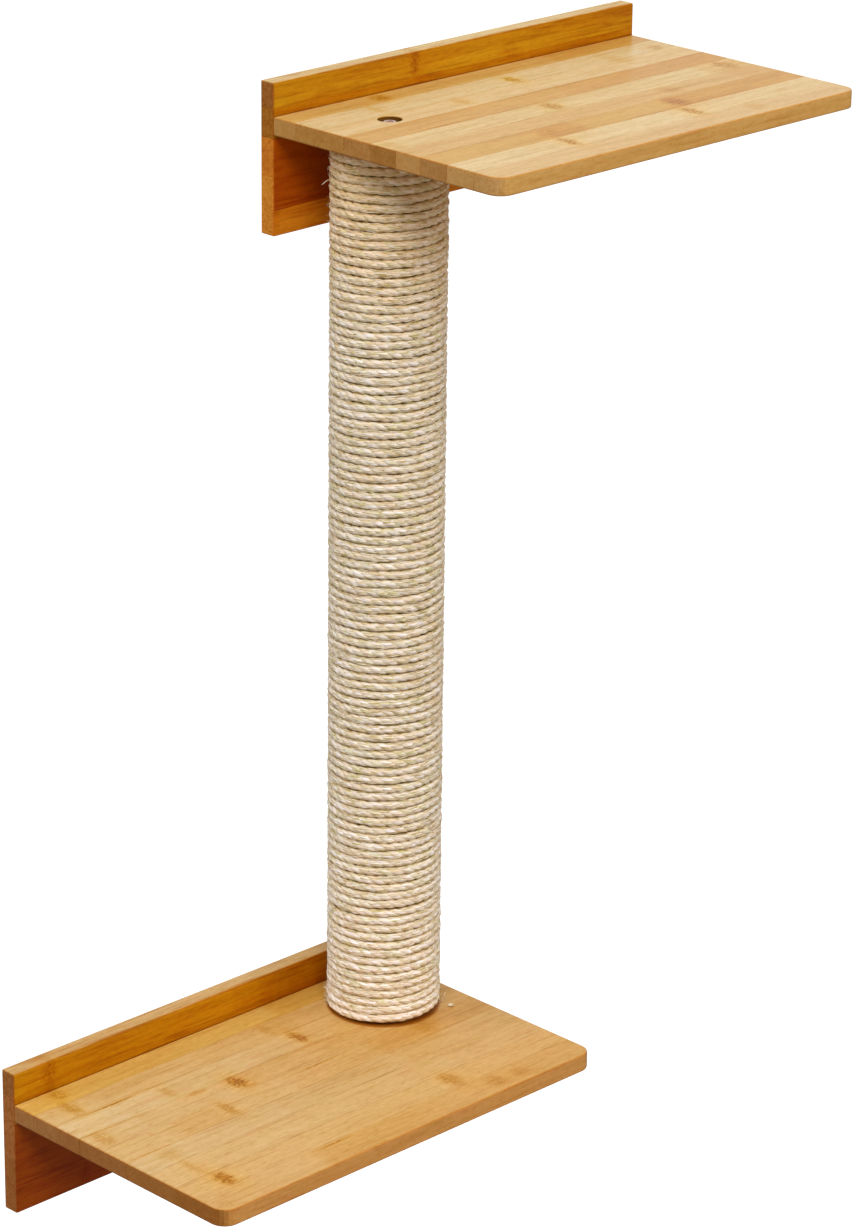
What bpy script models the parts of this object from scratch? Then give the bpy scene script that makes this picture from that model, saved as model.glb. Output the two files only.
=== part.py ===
"""Wall-mounted cat scratching post: two bamboo brackets on a wall, joined by a post wound with rope.

Each bracket is a back plate and a shelf, screwed together from behind. The post is a cardboard tube
with a wooden plug in each end. A bolt through each shelf pulls an insert nut in the plug against it.

Units are metres, +Z is up, the wall is the plane Y = 0 and the object stands out of it along -Y.
The origin is the centre of the upper plate's back face.
"""
import math

import bmesh
import bpy
from mathutils import Matrix, Vector
from mathutils.kdtree import KDTree

MM = 0.001

# Gap kept between pieces that touch on the real object
CLEARANCE = 0.3 * MM

# Bracket boards, laminated bamboo
BRACKET_LENGTH = 330 * MM
SHELF_DEPTH = 200 * MM
SHELF_THICKNESS = 12 * MM
SHELF_CORNER_RADIUS = 11 * MM
PLATE_HEIGHT = 100 * MM
PLATE_THICKNESS = 12 * MM
PLATE_UPSTAND = 22 * MM
EDGE_ROUNDING = 1.0 * MM

# Post: where it stands on its shelves, its tube and its plugs
POST_LENGTH = 600 * MM
POST_FROM_SHELF_END = 51 * MM
POST_FROM_SHELF_BACK = 52 * MM
TUBE_DIAMETER = 64 * MM
TUBE_WALL = 3 * MM
PLUG_THICKNESS = 30 * MM
PLUG_CHAMFER = 1 * MM

# Rope: its own size, how far turns press into each other, and the gap that the solid keeps
ROPE_DIAMETER = 6 * MM
ROPE_SQUEEZE = 0.06 * MM
ROPE_TURN_GAP = 0.54 * MM
ROPE_POINTS_A_TURN = 14

# Bolt, washer and insert nut at each end of the post
BOLT_DIAMETER = 8 * MM
BOLT_LENGTH = 30 * MM
BOLT_HEAD_OVERHANG = 3 * MM
BOLT_HEAD_HEIGHT = 4.4 * MM
BOLT_HEAD_RIM = 0.8 * MM
BOLT_TIP_CHAMFER = 1 * MM
BOLT_HEAD_RECESS = 1.4 * MM
SOCKET_ACROSS_FLATS = 5 * MM
SOCKET_DEPTH = 2.6 * MM
SOCKET_RIM = 0.6 * MM
WASHER_THICKNESS = 1.6 * MM
WASHER_RIM = 0.5 * MM
WASHER_SIDE_PLAY = 0.4 * MM
COUNTERBORE_CHAMFER = 0.35 * MM
INSERT_WALL = 1.7 * MM
INSERT_LENGTH = 18 * MM
INSERT_FLANGE_WIDTH = 3 * MM
INSERT_FLANGE_THICKNESS = 1.5 * MM

# Countersunk screws that join a plate to its shelf
SCREW_DIAMETER = 4 * MM
SCREW_LENGTH = 40 * MM
SCREW_HEAD_OVERHANG = 2 * MM
SCREW_HEAD_RIM = 0.4 * MM
SCREW_TIP_LENGTH = 5 * MM
SCREW_FROM_BRACKET_END = 50 * MM
SCREW_RECESS_SPAN = 4.4 * MM
SCREW_RECESS_WIDTH = 1.0 * MM
SCREW_RECESS_DEPTH = 1.4 * MM

# Countersunk holes for the wall screws
WALL_HOLE_DIAMETER = 5 * MM
WALL_HOLE_SINK_WIDTH = 2.5 * MM
WALL_HOLE_FROM_END = 82.5 * MM

# Brads through the tube into a plug
BRADS_AN_END = 4
BRAD_DIAMETER = 1.6 * MM
BRAD_LENGTH = 14 * MM
BRAD_HEAD_OVERHANG = 0.8 * MM
BRAD_HEAD_THICKNESS = 0.8 * MM
BRAD_HEAD_SINK = 0.15 * MM

# Staple over each cut end of the rope, on the side that faces the wall
STAPLE_WIRE = 0.9 * MM
STAPLE_LEG = 10 * MM
STAPLE_FROM_ROPE_EDGE = 1.1 * MM
STAPLE_FROM_ROPE_END = 8 * MM

# Sides of round pieces
TUBE_SIDES = 48
PLUG_SIDES = 40
FASTENER_SIDES = 32
SCREW_SIDES = 12
BRAD_SIDES = 8
SHELF_CORNER_STEPS = 6
DOME_STEPS = 4

# Heights in a bracket, from the plate's centre
SHELF_TOP = PLATE_HEIGHT / 2 - PLATE_UPSTAND
SHELF_UNDERSIDE = SHELF_TOP - SHELF_THICKNESS
SHELF_BACK = -PLATE_THICKNESS - CLEARANCE
WALL_HOLE_HEIGHT = (SHELF_UNDERSIDE - PLATE_HEIGHT / 2) / 2

# Where the two brackets and the post's ends lie
POST_ACROSS = POST_FROM_SHELF_END - BRACKET_LENGTH / 2
POST_OUT = SHELF_BACK - POST_FROM_SHELF_BACK
BRACKET_SHIFT = 2 * POST_ACROSS
SHELF_SPACE = POST_LENGTH + 2 * CLEARANCE
BRACKET_DROP = SHELF_SPACE + SHELF_THICKNESS
UPPER_END_HEIGHT = SHELF_UNDERSIDE
LOWER_END_HEIGHT = SHELF_TOP - BRACKET_DROP

# Radii round the post's axis
TUBE_RADIUS = TUBE_DIAMETER / 2
TUBE_BORE_RADIUS = TUBE_RADIUS - TUBE_WALL
PLUG_RADIUS = TUBE_BORE_RADIUS - CLEARANCE
BOLT_RADIUS = BOLT_DIAMETER / 2
BOLT_HOLE_RADIUS = BOLT_RADIUS + CLEARANCE
BOLT_HEAD_RADIUS = BOLT_RADIUS + BOLT_HEAD_OVERHANG
WASHER_RADIUS = BOLT_HEAD_RADIUS + WASHER_RIM
COUNTERBORE_RADIUS = WASHER_RADIUS + WASHER_SIDE_PLAY
INSERT_RADIUS = BOLT_HOLE_RADIUS + INSERT_WALL
INSERT_FLANGE_RADIUS = INSERT_RADIUS + INSERT_FLANGE_WIDTH

# Heights at a post end, from the shelf face that the post meets, out of the post
POST_END = -CLEARANCE
HEAD_TOP = SHELF_THICKNESS - BOLT_HEAD_RECESS
HEAD_SEAT = HEAD_TOP - BOLT_HEAD_HEIGHT
WASHER_TOP = HEAD_SEAT - CLEARANCE
WASHER_SEAT = WASHER_TOP - WASHER_THICKNESS
COUNTERBORE_FLOOR = WASHER_SEAT - CLEARANCE

# Rope winding: whole turns that fill the space between the shelves
WINDING_SPACE = SHELF_SPACE - 2 * CLEARANCE + ROPE_TURN_GAP
ROPE_TURNS = round(WINDING_SPACE / (ROPE_DIAMETER - ROPE_SQUEEZE)) - 1
ROPE_PITCH = WINDING_SPACE / (ROPE_TURNS + 1)
ROPE_WIDTH = ROPE_PITCH - ROPE_TURN_GAP
FACET_SHRINK = math.cos(math.pi / ROPE_POINTS_A_TURN)
ROPE_OUTER_RADIUS = TUBE_RADIUS + ROPE_DIAMETER
ROPE_INNER_RADIUS = (TUBE_RADIUS + CLEARANCE) / FACET_SHRINK

# Colour, roughness and metallic value of each material
BAMBOO = ((0.62, 0.36, 0.13), 0.45, 0.0)
SISAL = ((0.70, 0.59, 0.42), 0.9, 0.0)
CARDBOARD = ((0.45, 0.33, 0.21), 0.9, 0.0)
PLUG_WOOD = ((0.66, 0.50, 0.30), 0.7, 0.0)
ZINC = ((0.55, 0.55, 0.53), 0.35, 1.0)

for old in list(bpy.data.objects):
    bpy.data.objects.remove(old, do_unlink=True)


def collection(name):
    """A new collection under the scene's own."""
    made = bpy.data.collections.new(name)
    bpy.context.scene.collection.children.link(made)
    return made


PARTS = collection("cat_scratching_post")
CUTTERS = collection("cutters")


def link(name, mesh, parent, place=Matrix()):
    """An object for a mesh, at a place under its parent, in no collection yet."""
    made = bpy.data.objects.new(name, mesh)
    made.parent = parent
    made.matrix_local = place
    return made


def empty(name, place):
    """A guide that pieces are parented to."""
    made = bpy.data.objects.new(name, None)
    made.matrix_world = place
    made.hide_render = True
    PARTS.objects.link(made)
    return made


def finished(mesh, finish, sharp=35):
    """Give a mesh its own material and smooth shading, with edges past the sharp angle left crisp."""
    colour, roughness, metallic = finish
    material = bpy.data.materials.new(mesh.name)
    material.use_nodes = True
    shader = material.node_tree.nodes["Principled BSDF"]
    shader.inputs["Base Color"].default_value = (*colour, 1)
    shader.inputs["Roughness"].default_value = roughness
    shader.inputs["Metallic"].default_value = metallic
    mesh.materials.append(material)
    mesh.shade_smooth()
    mesh.set_sharp_from_angle(angle=math.radians(sharp))
    return mesh


def part(name, mesh, parent, place=Matrix()):
    """A piece of the product."""
    made = link(name, mesh, parent, place)
    PARTS.objects.link(made)
    return made


def cutter(name, mesh, parent, place=Matrix()):
    """A shape that is cut out of pieces, and is not a piece."""
    made = link(name, mesh, parent, place)
    made.hide_render = True
    made.display_type = "WIRE"
    CUTTERS.objects.link(made)
    return made


def cut(target, *tools):
    """Cut each tool's shape out of a piece."""
    for tool in tools:
        boolean = target.modifiers.new(tool.name, "BOOLEAN")
        boolean.operation = "DIFFERENCE"
        boolean.solver = "EXACT"
        boolean.object = tool


def mesh_from(bm, name):
    """Turn a finished bmesh into a mesh whose faces point out."""
    bmesh.ops.recalc_face_normals(bm, faces=bm.faces)
    mesh = bpy.data.meshes.new(name)
    bm.to_mesh(mesh)
    bm.free()
    return mesh


def turned(name, profile, sides):
    """A closed shape turned about Z from (radius, height) points, from the axis or round a bore."""
    bm = bmesh.new()
    points = [bm.verts.new((radius, 0, height)) for radius, height in profile]
    edges = [bm.edges.new(pair) for pair in zip(points, points[1:])]
    if profile[0][0] > 0:
        edges.append(bm.edges.new((points[-1], points[0])))
    bmesh.ops.spin(
        bm, geom=points + edges, cent=(0, 0, 0), axis=(0, 0, 1), angle=math.tau, steps=sides, use_merge=True
    )
    bmesh.ops.remove_doubles(bm, verts=bm.verts, dist=0.001 * MM)
    return mesh_from(bm, name)


def soften(bm, edges, width, steps):
    """Round the given edges of a bmesh."""
    bmesh.ops.bevel(
        bm, geom=edges, offset=width, offset_type="OFFSET", segments=steps, profile=0.5,
        affect="EDGES", clamp_overlap=True, material=-1,
    )


def is_along(edge, axis):
    """Whether an edge runs along X, Y or Z, given as 0, 1 or 2."""
    run = (edge.verts[1].co - edge.verts[0].co).normalized()
    return abs(run[axis]) > 0.999


def plate_board(name):
    """A back plate with every edge eased."""
    bm = bmesh.new()
    bmesh.ops.create_cube(bm, size=1)
    bmesh.ops.scale(bm, verts=bm.verts, vec=(BRACKET_LENGTH, PLATE_THICKNESS, PLATE_HEIGHT))
    bmesh.ops.translate(bm, verts=bm.verts, vec=(0, -PLATE_THICKNESS / 2, 0))
    soften(bm, list(bm.edges), EDGE_ROUNDING, 2)
    return mesh_from(bm, name)


def shelf_board(name):
    """A shelf with round front corners, eased edges and a square back edge for its glue joint."""
    bm = bmesh.new()
    bmesh.ops.create_cube(bm, size=1)
    bmesh.ops.scale(bm, verts=bm.verts, vec=(BRACKET_LENGTH, SHELF_DEPTH, SHELF_THICKNESS))
    middle = (0, SHELF_BACK - SHELF_DEPTH / 2, SHELF_TOP - SHELF_THICKNESS / 2)
    bmesh.ops.translate(bm, verts=bm.verts, vec=middle)
    half_way = middle[1]
    corners = [e for e in bm.edges if is_along(e, 2) and e.verts[0].co.y < half_way]
    soften(bm, corners, SHELF_CORNER_RADIUS, SHELF_CORNER_STEPS)
    back = SHELF_BACK - CLEARANCE
    rims = [
        e for e in bm.edges
        if not is_along(e, 2) and min(v.co.y for v in e.verts) < back
        and abs(e.verts[0].co.z - e.verts[1].co.z) < CLEARANCE
    ]
    soften(bm, rims, EDGE_ROUNDING, 2)
    return mesh_from(bm, name)


def screw_profile(grow):
    """Countersunk wood screw from its tip at the bottom to its flat head at height 0."""
    radius = SCREW_DIAMETER / 2 + grow
    head = SCREW_DIAMETER / 2 + SCREW_HEAD_OVERHANG + grow
    cone_top = -SCREW_HEAD_RIM
    cone_foot = cone_top - SCREW_HEAD_OVERHANG
    tip = -SCREW_LENGTH - grow
    top = 2 * CLEARANCE if grow else 0
    return [
        (0, top), (head, top), (head, cone_top - grow), (radius, cone_foot - grow),
        (radius, tip + SCREW_TIP_LENGTH), (0, tip),
    ]


def cross_recess(name):
    """The driver recess of a screw: a cross-shaped prism from above the head down into it."""
    arm = SCREW_RECESS_SPAN / 2
    thin = SCREW_RECESS_WIDTH / 2
    bm = bmesh.new()
    points = []
    for quarter in range(4):
        turn = Matrix.Rotation(math.radians(90 * quarter), 4, "Z")
        for across, along in ((arm, -thin), (arm, thin), (thin, thin)):
            points.append(bm.verts.new(turn @ Vector((across, along, -SCREW_RECESS_DEPTH))))
    floor = bm.faces.new(points)
    raised = bmesh.ops.extrude_face_region(bm, geom=[floor])["geom"]
    top = [v for v in raised if isinstance(v, bmesh.types.BMVert)]
    bmesh.ops.translate(bm, verts=top, vec=(0, 0, SCREW_RECESS_DEPTH + CLEARANCE))
    return mesh_from(bm, name)


def screws_from_behind(prefix, bracket, plate, shelf):
    """Three screws through the plate into the shelf's back edge, with their holes."""
    end = BRACKET_LENGTH / 2 - SCREW_FROM_BRACKET_END
    height = SHELF_TOP - SHELF_THICKNESS / 2
    head_out = Matrix.Rotation(math.radians(-90), 4, "X")
    screw_mesh = finished(turned(f"{prefix}_shelf_screw", screw_profile(0), SCREW_SIDES), ZINC)
    hole_mesh = turned(f"{prefix}_screw_hole", screw_profile(CLEARANCE), SCREW_SIDES)
    recess_mesh = cross_recess(f"{prefix}_screw_recess")
    for side, across in (("left", -end), ("middle", 0), ("right", end)):
        place = Matrix.Translation((across, -CLEARANCE, height)) @ head_out
        screw = part(f"{prefix}_shelf_screw_{side}", screw_mesh, bracket, place)
        cut(screw, cutter(f"{prefix}_screw_recess_{side}", recess_mesh, bracket, place))
        hole = cutter(f"{prefix}_screw_hole_{side}", hole_mesh, bracket, place)
        cut(plate, hole)
        cut(shelf, hole)


def wall_holes(prefix, bracket, plate):
    """Two holes through the plate under the shelf, countersunk from the front."""
    radius = WALL_HOLE_DIAMETER / 2
    mouth = radius + WALL_HOLE_SINK_WIDTH
    over = CLEARANCE
    profile = [
        (0, over), (mouth + over, over), (radius, -WALL_HOLE_SINK_WIDTH),
        (radius, -PLATE_THICKNESS - over), (0, -PLATE_THICKNESS - over),
    ]
    hole_mesh = turned(f"{prefix}_wall_hole", profile, FASTENER_SIDES)
    mouth_out = Matrix.Rotation(math.radians(90), 4, "X")
    end = BRACKET_LENGTH / 2 - WALL_HOLE_FROM_END
    for side, across in (("left", -end), ("right", end)):
        place = Matrix.Translation((across, -PLATE_THICKNESS, WALL_HOLE_HEIGHT)) @ mouth_out
        cut(plate, cutter(f"{prefix}_wall_hole_{side}", hole_mesh, bracket, place))


def bracket_boards(prefix, bracket):
    """A back plate and its shelf, with the screws that join them and the holes for the wall."""
    plate = part(f"{prefix}_back_plate", finished(plate_board(f"{prefix}_back_plate"), BAMBOO), bracket)
    shelf = part(f"{prefix}_shelf", finished(shelf_board(f"{prefix}_shelf"), BAMBOO), bracket)
    screws_from_behind(prefix, bracket, plate, shelf)
    wall_holes(prefix, bracket, plate)
    return shelf


def post_tube(post):
    """The cardboard tube, centred between the two shelves."""
    half = POST_LENGTH / 2
    profile = [
        (TUBE_BORE_RADIUS, half), (TUBE_RADIUS, half), (TUBE_RADIUS, -half), (TUBE_BORE_RADIUS, -half)
    ]
    return part("post_core_tube", finished(turned("post_core_tube", profile, TUBE_SIDES), CARDBOARD), post)


def rope_section():
    """Three-sided section of the rope, flat on the tube, as a loose loop on the wall side of the post."""
    bm = bmesh.new()
    foot = -ROPE_PITCH * ROPE_TURNS / 2
    corners = (
        (ROPE_INNER_RADIUS, foot + ROPE_WIDTH / 2),
        (ROPE_OUTER_RADIUS, foot),
        (ROPE_INNER_RADIUS, foot - ROPE_WIDTH / 2),
    )
    points = [bm.verts.new((0, radius, height)) for radius, height in corners]
    for near, far in zip(points, points[1:] + points[:1]):
        bm.edges.new((near, far))
    mesh = bpy.data.meshes.new("rope_section")
    bm.to_mesh(mesh)
    bm.free()
    return mesh


def wound_rope(post):
    """One unbroken right-hand winding of the rope, closed at its two cut ends."""
    guide = cutter("rope_guide", rope_section(), post)
    screw = guide.modifiers.new("winding", "SCREW")
    screw.axis = "Z"
    screw.angle = math.tau
    screw.screw_offset = ROPE_PITCH
    screw.iterations = ROPE_TURNS
    screw.steps = ROPE_POINTS_A_TURN
    screw.render_steps = ROPE_POINTS_A_TURN
    screw.merge_threshold = 0.01 * MM
    shown = guide.evaluated_get(bpy.context.evaluated_depsgraph_get())
    wound = bpy.data.meshes.new_from_object(shown)
    bpy.data.objects.remove(guide)
    bm = bmesh.new()
    bm.from_mesh(wound)
    bpy.data.meshes.remove(wound)
    bmesh.ops.holes_fill(bm, edges=[e for e in bm.edges if e.is_boundary], sides=3)
    print_least_gap(bm)
    return part("sisal_rope", finished(mesh_from(bm, "sisal_rope"), SISAL), post)


def print_least_gap(bm):
    """Measure, on points all along the winding, how near it comes to itself, and print it."""
    corners = [v.co.copy() for v in bm.verts]
    sections = [corners[first:first + 3] for first in range(0, len(corners), 3)]
    samples = []
    for step, (here, ahead) in enumerate(zip(sections, sections[1:])):
        half_way = [a.lerp(b, 0.5) for a, b in zip(here, ahead)]
        for section in (here, half_way):
            for a, b in zip(section, section[1:] + section[:1]):
                samples.extend((step, a.lerp(b, share / 4)) for share in range(4))
    tree = KDTree(len(samples))
    for number, (step, point) in enumerate(samples):
        tree.insert(point, number)
    tree.balance()
    least = min(
        distance
        for step, point in samples
        for _, other, distance in tree.find_range(point, ROPE_PITCH)
        if abs(samples[other][0] - step) > ROPE_POINTS_A_TURN / 2
    )
    print(f"least gap of the rope to itself: {least / MM:.2f} mm over {ROPE_TURNS} turns")


def post_bolt(prefix, end):
    """Button-head bolt with a hexagon socket, pointing into the post."""
    socket_radius = SOCKET_ACROSS_FLATS / math.sqrt(3)
    flat_radius = socket_radius + SOCKET_RIM
    dome_width = BOLT_HEAD_RADIUS - flat_radius
    dome_height = BOLT_HEAD_HEIGHT - BOLT_HEAD_RIM
    turns = [math.pi / 2 * (1 - step / DOME_STEPS) for step in range(DOME_STEPS + 1)]
    arc = [
        (flat_radius + dome_width * math.cos(t), HEAD_SEAT + BOLT_HEAD_RIM + dome_height * math.sin(t))
        for t in turns
    ]
    tip = HEAD_SEAT - BOLT_LENGTH
    profile = [
        (0, HEAD_TOP), *arc, (BOLT_HEAD_RADIUS, HEAD_SEAT), (BOLT_RADIUS, HEAD_SEAT),
        (BOLT_RADIUS, tip + BOLT_TIP_CHAMFER), (BOLT_RADIUS - BOLT_TIP_CHAMFER, tip), (0, tip),
    ]
    name = f"{prefix}_post_bolt"
    bolt = part(name, finished(turned(name, profile, FASTENER_SIDES), ZINC), end)
    bm = bmesh.new()
    depth = SOCKET_DEPTH + CLEARANCE
    bmesh.ops.create_cone(
        bm, cap_ends=True, segments=6, radius1=socket_radius, radius2=socket_radius, depth=depth
    )
    bmesh.ops.translate(bm, verts=bm.verts, vec=(0, 0, HEAD_TOP - SOCKET_DEPTH + depth / 2))
    cut(bolt, cutter(f"{prefix}_bolt_socket", mesh_from(bm, f"{prefix}_bolt_socket"), end))


def post_washer(prefix, end):
    """Flat washer under the bolt head."""
    name = f"{prefix}_post_washer"
    profile = [
        (BOLT_HOLE_RADIUS, WASHER_TOP), (WASHER_RADIUS, WASHER_TOP),
        (WASHER_RADIUS, WASHER_SEAT), (BOLT_HOLE_RADIUS, WASHER_SEAT),
    ]
    part(name, finished(turned(name, profile, FASTENER_SIDES), ZINC), end)


def counterbored_hole(prefix, end, shelf):
    """The stepped hole in the shelf for the bolt and its washer, with an eased mouth."""
    over = SHELF_THICKNESS + CLEARANCE
    profile = [
        (0, over), (COUNTERBORE_RADIUS + COUNTERBORE_CHAMFER + CLEARANCE, over),
        (COUNTERBORE_RADIUS, SHELF_THICKNESS - COUNTERBORE_CHAMFER), (COUNTERBORE_RADIUS, COUNTERBORE_FLOOR),
        (BOLT_HOLE_RADIUS, COUNTERBORE_FLOOR), (BOLT_HOLE_RADIUS, POST_END), (0, POST_END),
    ]
    name = f"{prefix}_bolt_hole"
    cut(shelf, cutter(name, turned(name, profile, FASTENER_SIDES), end))


def insert_nut(prefix, end):
    """Flanged threaded insert, flush with the plug's outer face."""
    flange_foot = POST_END - INSERT_FLANGE_THICKNESS
    foot = POST_END - INSERT_LENGTH
    profile = [
        (BOLT_HOLE_RADIUS, POST_END), (INSERT_FLANGE_RADIUS, POST_END), (INSERT_FLANGE_RADIUS, flange_foot),
        (INSERT_RADIUS, flange_foot), (INSERT_RADIUS, foot), (BOLT_HOLE_RADIUS, foot),
    ]
    name = f"{prefix}_insert_nut"
    part(name, finished(turned(name, profile, FASTENER_SIDES), ZINC), end)


def end_plug(prefix, end):
    """Turned wooden plug, bored for the insert nut."""
    bore = INSERT_RADIUS + CLEARANCE
    sink = INSERT_FLANGE_RADIUS + CLEARANCE
    sink_floor = POST_END - INSERT_FLANGE_THICKNESS - CLEARANCE
    inner = POST_END - PLUG_THICKNESS
    profile = [
        (sink, POST_END), (PLUG_RADIUS, POST_END), (PLUG_RADIUS, inner + PLUG_CHAMFER),
        (PLUG_RADIUS - PLUG_CHAMFER, inner), (bore, inner), (bore, sink_floor), (sink, sink_floor),
    ]
    name = f"{prefix}_end_plug"
    return part(name, finished(turned(name, profile, PLUG_SIDES), PLUG_WOOD), end)


def brad_profile(grow):
    """Round-head brad from its tip to its head at height 0."""
    radius = BRAD_DIAMETER / 2 + grow
    head = BRAD_DIAMETER / 2 + BRAD_HEAD_OVERHANG + grow
    top = ROPE_DIAMETER / 2 if grow else 0
    seat = -BRAD_HEAD_THICKNESS - grow
    tip = -BRAD_LENGTH - grow
    return [(0, top), (head, top), (head, seat), (radius, seat), (radius, tip + radius), (0, tip)]


def plug_brads(prefix, end, tube, plug):
    """Brads through the tube's wall into the middle of the plug, under the rope."""
    height = POST_END - PLUG_THICKNESS / 2
    head_out = Matrix.Rotation(math.radians(90), 4, "Y")
    brad_mesh = finished(turned(f"{prefix}_plug_brad", brad_profile(0), BRAD_SIDES), ZINC)
    hole_mesh = turned(f"{prefix}_brad_hole", brad_profile(CLEARANCE), BRAD_SIDES)
    for number in range(1, BRADS_AN_END + 1):
        turn = math.tau * (number - 0.5) / BRADS_AN_END
        stand = Matrix.Translation((TUBE_RADIUS - BRAD_HEAD_SINK, 0, height)) @ head_out
        place = Matrix.Rotation(turn, 4, "Z") @ stand
        part(f"{prefix}_plug_brad_{number}", brad_mesh, end, place)
        hole = cutter(f"{prefix}_brad_hole_{number}", hole_mesh, end, place)
        cut(tube, hole)
        cut(plug, hole)


def staple_mesh(name, wire_radius, leg):
    """A bent wire: two legs along -Z under a crown along X, with its crown at height 0."""
    half = ROPE_WIDTH / 2 - STAPLE_FROM_ROPE_EDGE
    bend = STAPLE_WIRE * 0.6
    route = [(-half, -leg), (-half, -bend), (-half + bend, 0), (half - bend, 0), (half, -bend), (half, -leg)]
    curve = bpy.data.curves.new(name, "CURVE")
    curve.dimensions = "3D"
    curve.bevel_depth = wire_radius
    curve.bevel_resolution = 1
    curve.use_fill_caps = True
    spline = curve.splines.new("POLY")
    spline.points.add(len(route) - 1)
    for point, (across, height) in zip(spline.points, route):
        point.co = (across, 0, height, 1)
    wire = bpy.data.objects.new(name, curve)
    CUTTERS.objects.link(wire)
    shown = wire.evaluated_get(bpy.context.evaluated_depsgraph_get())
    tube = bpy.data.meshes.new_from_object(shown)
    bpy.data.objects.remove(wire)
    bm = bmesh.new()
    bm.from_mesh(tube)
    bpy.data.meshes.remove(tube)
    bmesh.ops.remove_doubles(bm, verts=bm.verts, dist=0.001 * MM)
    return mesh_from(bm, name)


def rope_staple(prefix, end, pieces):
    """Staple across the rope's last turn, through the tube and into the plug, facing the wall."""
    along = STAPLE_FROM_ROPE_END / ROPE_OUTER_RADIUS
    rope_middle = POST_END - ROPE_WIDTH / 2 - ROPE_PITCH * along / math.tau
    crown = ROPE_OUTER_RADIUS * FACET_SHRINK - STAPLE_WIRE / 2
    place = (
        Matrix.Rotation(math.pi / 2 - along, 4, "Z")
        @ Matrix.Translation((crown, 0, rope_middle))
        @ Matrix.Rotation(math.pi / 2, 4, "Y")
    )
    name = f"{prefix}_rope_staple"
    part(name, finished(staple_mesh(name, STAPLE_WIRE / 2, STAPLE_LEG), ZINC), end, place)
    hole_name = f"{prefix}_staple_hole"
    hole_mesh = staple_mesh(hole_name, STAPLE_WIRE / 2 + CLEARANCE, STAPLE_LEG + CLEARANCE)
    hole = cutter(hole_name, hole_mesh, end, place)
    for piece in pieces:
        cut(piece, hole)


def post_end(prefix, end, shelf, tube, rope):
    """Everything that joins one end of the post to its shelf."""
    counterbored_hole(prefix, end, shelf)
    post_bolt(prefix, end)
    post_washer(prefix, end)
    insert_nut(prefix, end)
    plug = end_plug(prefix, end)
    plug_brads(prefix, end, tube, plug)
    rope_staple(prefix, end, (rope, tube, plug))


upper_bracket = empty("upper_bracket", Matrix())
lower_bracket = empty("lower_bracket", Matrix.Translation((BRACKET_SHIFT, 0, -BRACKET_DROP)))
middle_of_post = (UPPER_END_HEIGHT + LOWER_END_HEIGHT) / 2
post = empty("post", Matrix.Translation((POST_ACROSS, POST_OUT, middle_of_post)))
upper_end = empty("upper_end", Matrix.Translation((POST_ACROSS, POST_OUT, UPPER_END_HEIGHT)))
upside_down = Matrix.Rotation(math.pi, 4, "Y")
lower_end = empty(
    "lower_end", Matrix.Translation((POST_ACROSS, POST_OUT, LOWER_END_HEIGHT)) @ upside_down
)
bpy.context.view_layer.update()

upper_shelf = bracket_boards("upper", upper_bracket)
lower_shelf = bracket_boards("lower", lower_bracket)
core = post_tube(post)
rope = wound_rope(post)
post_end("upper", upper_end, upper_shelf, core, rope)
post_end("lower", lower_end, lower_shelf, core, rope)
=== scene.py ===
"""Looks of a wall-mounted cat scratching post: two bamboo brackets joined by a post wound with sisal.

The boards, screws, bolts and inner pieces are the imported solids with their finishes. The rope is made
here, strand by strand, with its loose fibres. Meshes are in metres, and shader fields in millimetres.
"""
import math
import random

import bmesh
import bpy
from mathutils import Matrix, Vector, noise


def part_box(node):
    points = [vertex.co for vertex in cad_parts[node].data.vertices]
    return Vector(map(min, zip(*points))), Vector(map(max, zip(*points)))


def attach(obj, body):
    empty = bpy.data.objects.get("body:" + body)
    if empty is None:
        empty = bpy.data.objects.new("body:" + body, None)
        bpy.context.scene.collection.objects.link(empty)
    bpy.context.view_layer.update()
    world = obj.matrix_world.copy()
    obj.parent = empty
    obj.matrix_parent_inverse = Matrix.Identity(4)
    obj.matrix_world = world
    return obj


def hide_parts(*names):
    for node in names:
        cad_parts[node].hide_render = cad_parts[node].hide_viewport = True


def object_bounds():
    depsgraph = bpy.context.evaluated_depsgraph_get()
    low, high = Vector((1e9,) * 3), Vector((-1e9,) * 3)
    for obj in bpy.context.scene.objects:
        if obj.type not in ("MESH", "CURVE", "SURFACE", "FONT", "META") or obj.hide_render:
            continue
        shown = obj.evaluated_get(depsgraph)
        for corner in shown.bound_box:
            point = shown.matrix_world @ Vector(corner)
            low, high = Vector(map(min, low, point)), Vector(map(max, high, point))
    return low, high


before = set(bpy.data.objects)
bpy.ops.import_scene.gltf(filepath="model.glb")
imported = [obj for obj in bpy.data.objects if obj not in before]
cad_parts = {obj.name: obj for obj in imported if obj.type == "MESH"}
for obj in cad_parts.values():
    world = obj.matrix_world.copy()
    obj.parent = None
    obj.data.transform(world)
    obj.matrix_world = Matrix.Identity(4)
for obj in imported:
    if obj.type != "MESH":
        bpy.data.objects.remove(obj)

cad_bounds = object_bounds()


# Back plates
#
# Each is a bamboo board, glued up from flat strips that run along it, sanded, stained amber and
# varnished. Two screws through its lower half hold it to the wall.

MM = 0.001


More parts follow.
